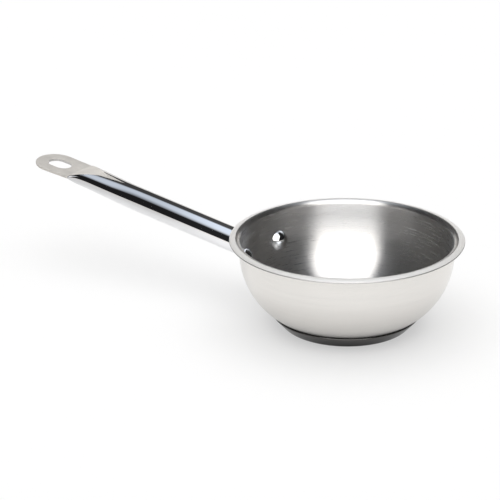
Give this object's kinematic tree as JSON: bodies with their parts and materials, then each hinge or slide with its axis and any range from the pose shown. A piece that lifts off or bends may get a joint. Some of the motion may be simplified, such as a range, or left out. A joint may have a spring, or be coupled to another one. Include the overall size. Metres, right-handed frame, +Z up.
{
  "type": "saucier pan",
  "caption": "Small stainless saucier pan with a rounded bowl, flared rim, sandwich base and a riveted hollow tube handle with a hanging slot.",
  "frame": {"origin": "centre of the round face that stands on the hob", "axes": "+Z up out of the bowl, -X along the handle seen from above, +Y completes the right-handed frame; the pan is a mirror image of itself about the XZ plane"},
  "size_m": [0.3745, 0.1714, 0.0779],
  "materials": {
    "satin_steel": "fine satin, turned",
    "polished_steel": "mirror polished stainless steel",
    "core_aluminium": "plain disc, sealed inside the base"
  },
  "bodies": {
    "root": {"bowl": "satin_steel", "base_core": "core_aluminium", "base_cap": "satin_steel", "handle_tube": "polished_steel", "handle_bracket": "polished_steel", "handle_weld": "satin_steel", "rivet_near": "polished_steel", "rivet_far": "polished_steel"}
  },
  "joints": []
}
